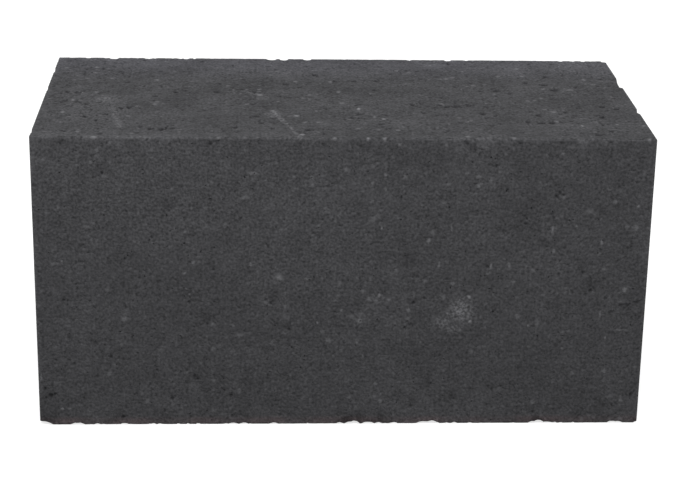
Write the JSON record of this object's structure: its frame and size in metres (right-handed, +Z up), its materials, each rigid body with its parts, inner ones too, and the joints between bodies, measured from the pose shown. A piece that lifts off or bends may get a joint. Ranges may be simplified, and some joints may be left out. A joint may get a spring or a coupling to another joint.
{
  "type": "concrete block",
  "caption": "Solid rectangular walling block of dry-cast concrete with flat beds, square ends and lightly chipped edges.",
  "frame": {"origin": "middle of the lower bed, the face that the block stands on", "axes": "+X along the block's length, -Y out of the show face, +Z up through the upper bed"},
  "size_m": [0.3, 0.15, 0.15],
  "materials": {
    "concrete": "matte"
  },
  "bodies": {
    "root": {"block": "concrete"}
  },
  "joints": []
}
